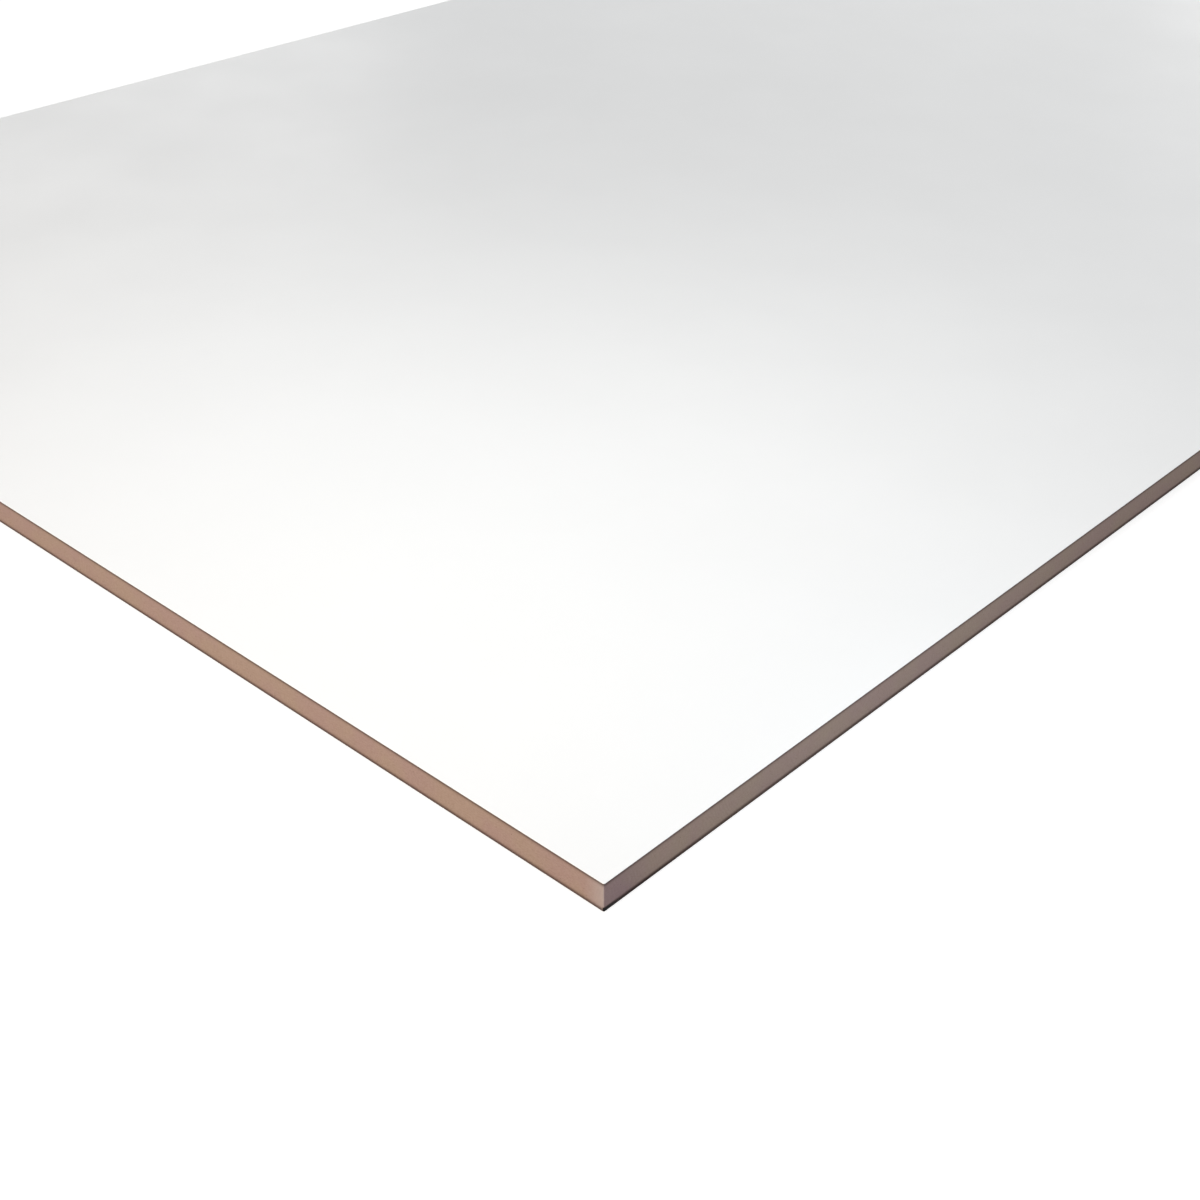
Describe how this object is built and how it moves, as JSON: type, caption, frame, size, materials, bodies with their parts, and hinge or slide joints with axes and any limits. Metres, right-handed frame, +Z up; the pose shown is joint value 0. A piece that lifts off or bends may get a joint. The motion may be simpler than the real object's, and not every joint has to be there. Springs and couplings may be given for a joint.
{
  "type": "medium-density fiberboard sheet",
  "caption": "Full-size flat sheet of medium-density fiberboard with a white melamine face above and below and bare brown edges sawn square.",
  "frame": {"origin": "middle of the underside, where the sheet lies on the floor", "axes": "+X along the length, +Y across the width, +Z up through the thickness and out of the upper face"},
  "size_m": [2.44, 1.22, 0.018],
  "materials": {
    "raw_mdf": "matte",
    "white_melamine": "satin"
  },
  "bodies": {
    "root": {"mdf_core": "raw_mdf", "top_face_film": "white_melamine", "bottom_face_film": "white_melamine"}
  },
  "joints": []
}
